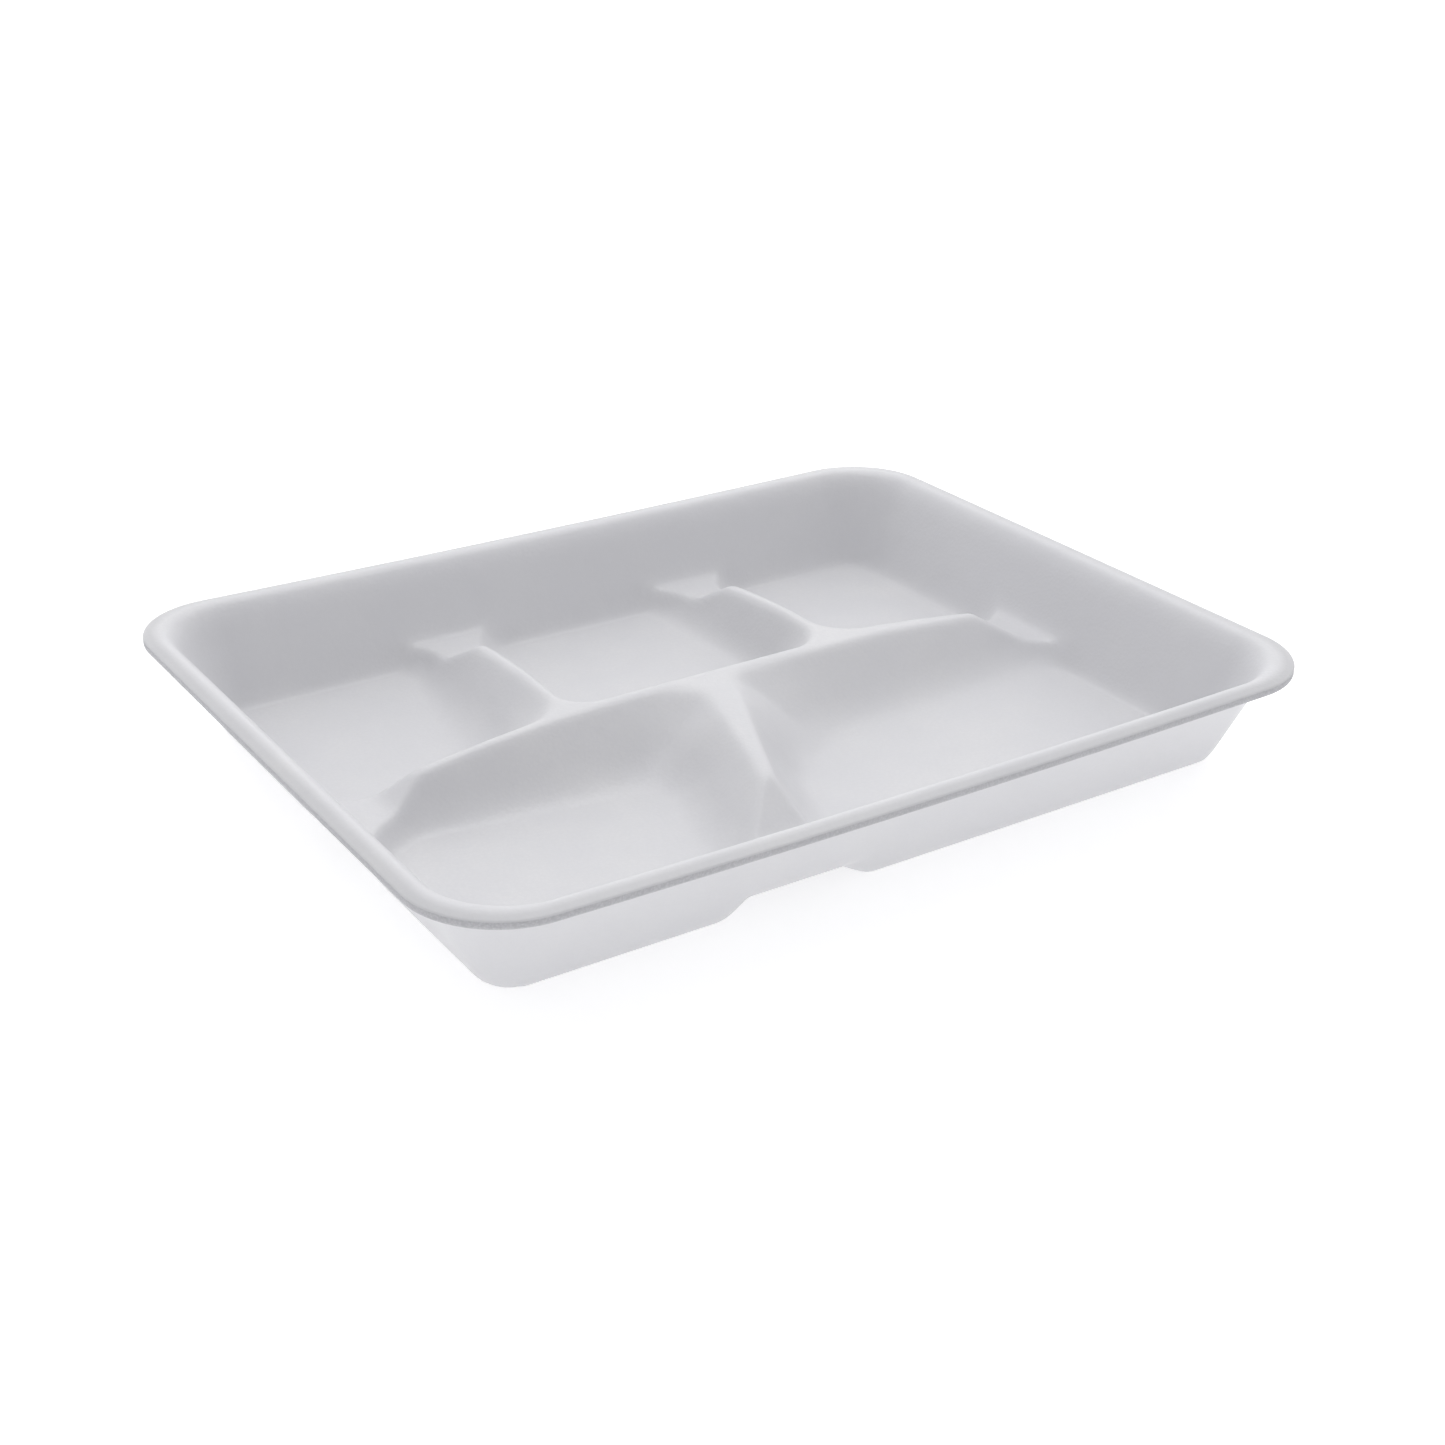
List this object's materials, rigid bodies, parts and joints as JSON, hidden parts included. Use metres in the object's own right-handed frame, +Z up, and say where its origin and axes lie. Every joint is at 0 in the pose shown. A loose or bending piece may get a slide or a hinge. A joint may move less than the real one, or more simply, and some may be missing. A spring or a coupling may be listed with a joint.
{
  "type": "compartment food tray",
  "caption": "Shallow rectangular thermoformed foam meal tray with rounded corners, a turned-out rim and separate food compartments.",
  "frame": {"origin": "middle of the footprint, on the plane that the compartment undersides stand on", "axes": "+X along the long side, +Y towards the side with the smaller compartments, +Z up out of the compartments"},
  "size_m": [0.2666, 0.2096, 0.0306],
  "materials": {
    "foam": "soft satin foam"
  },
  "bodies": {
    "root": {"tray": "foam"}
  },
  "joints": []
}
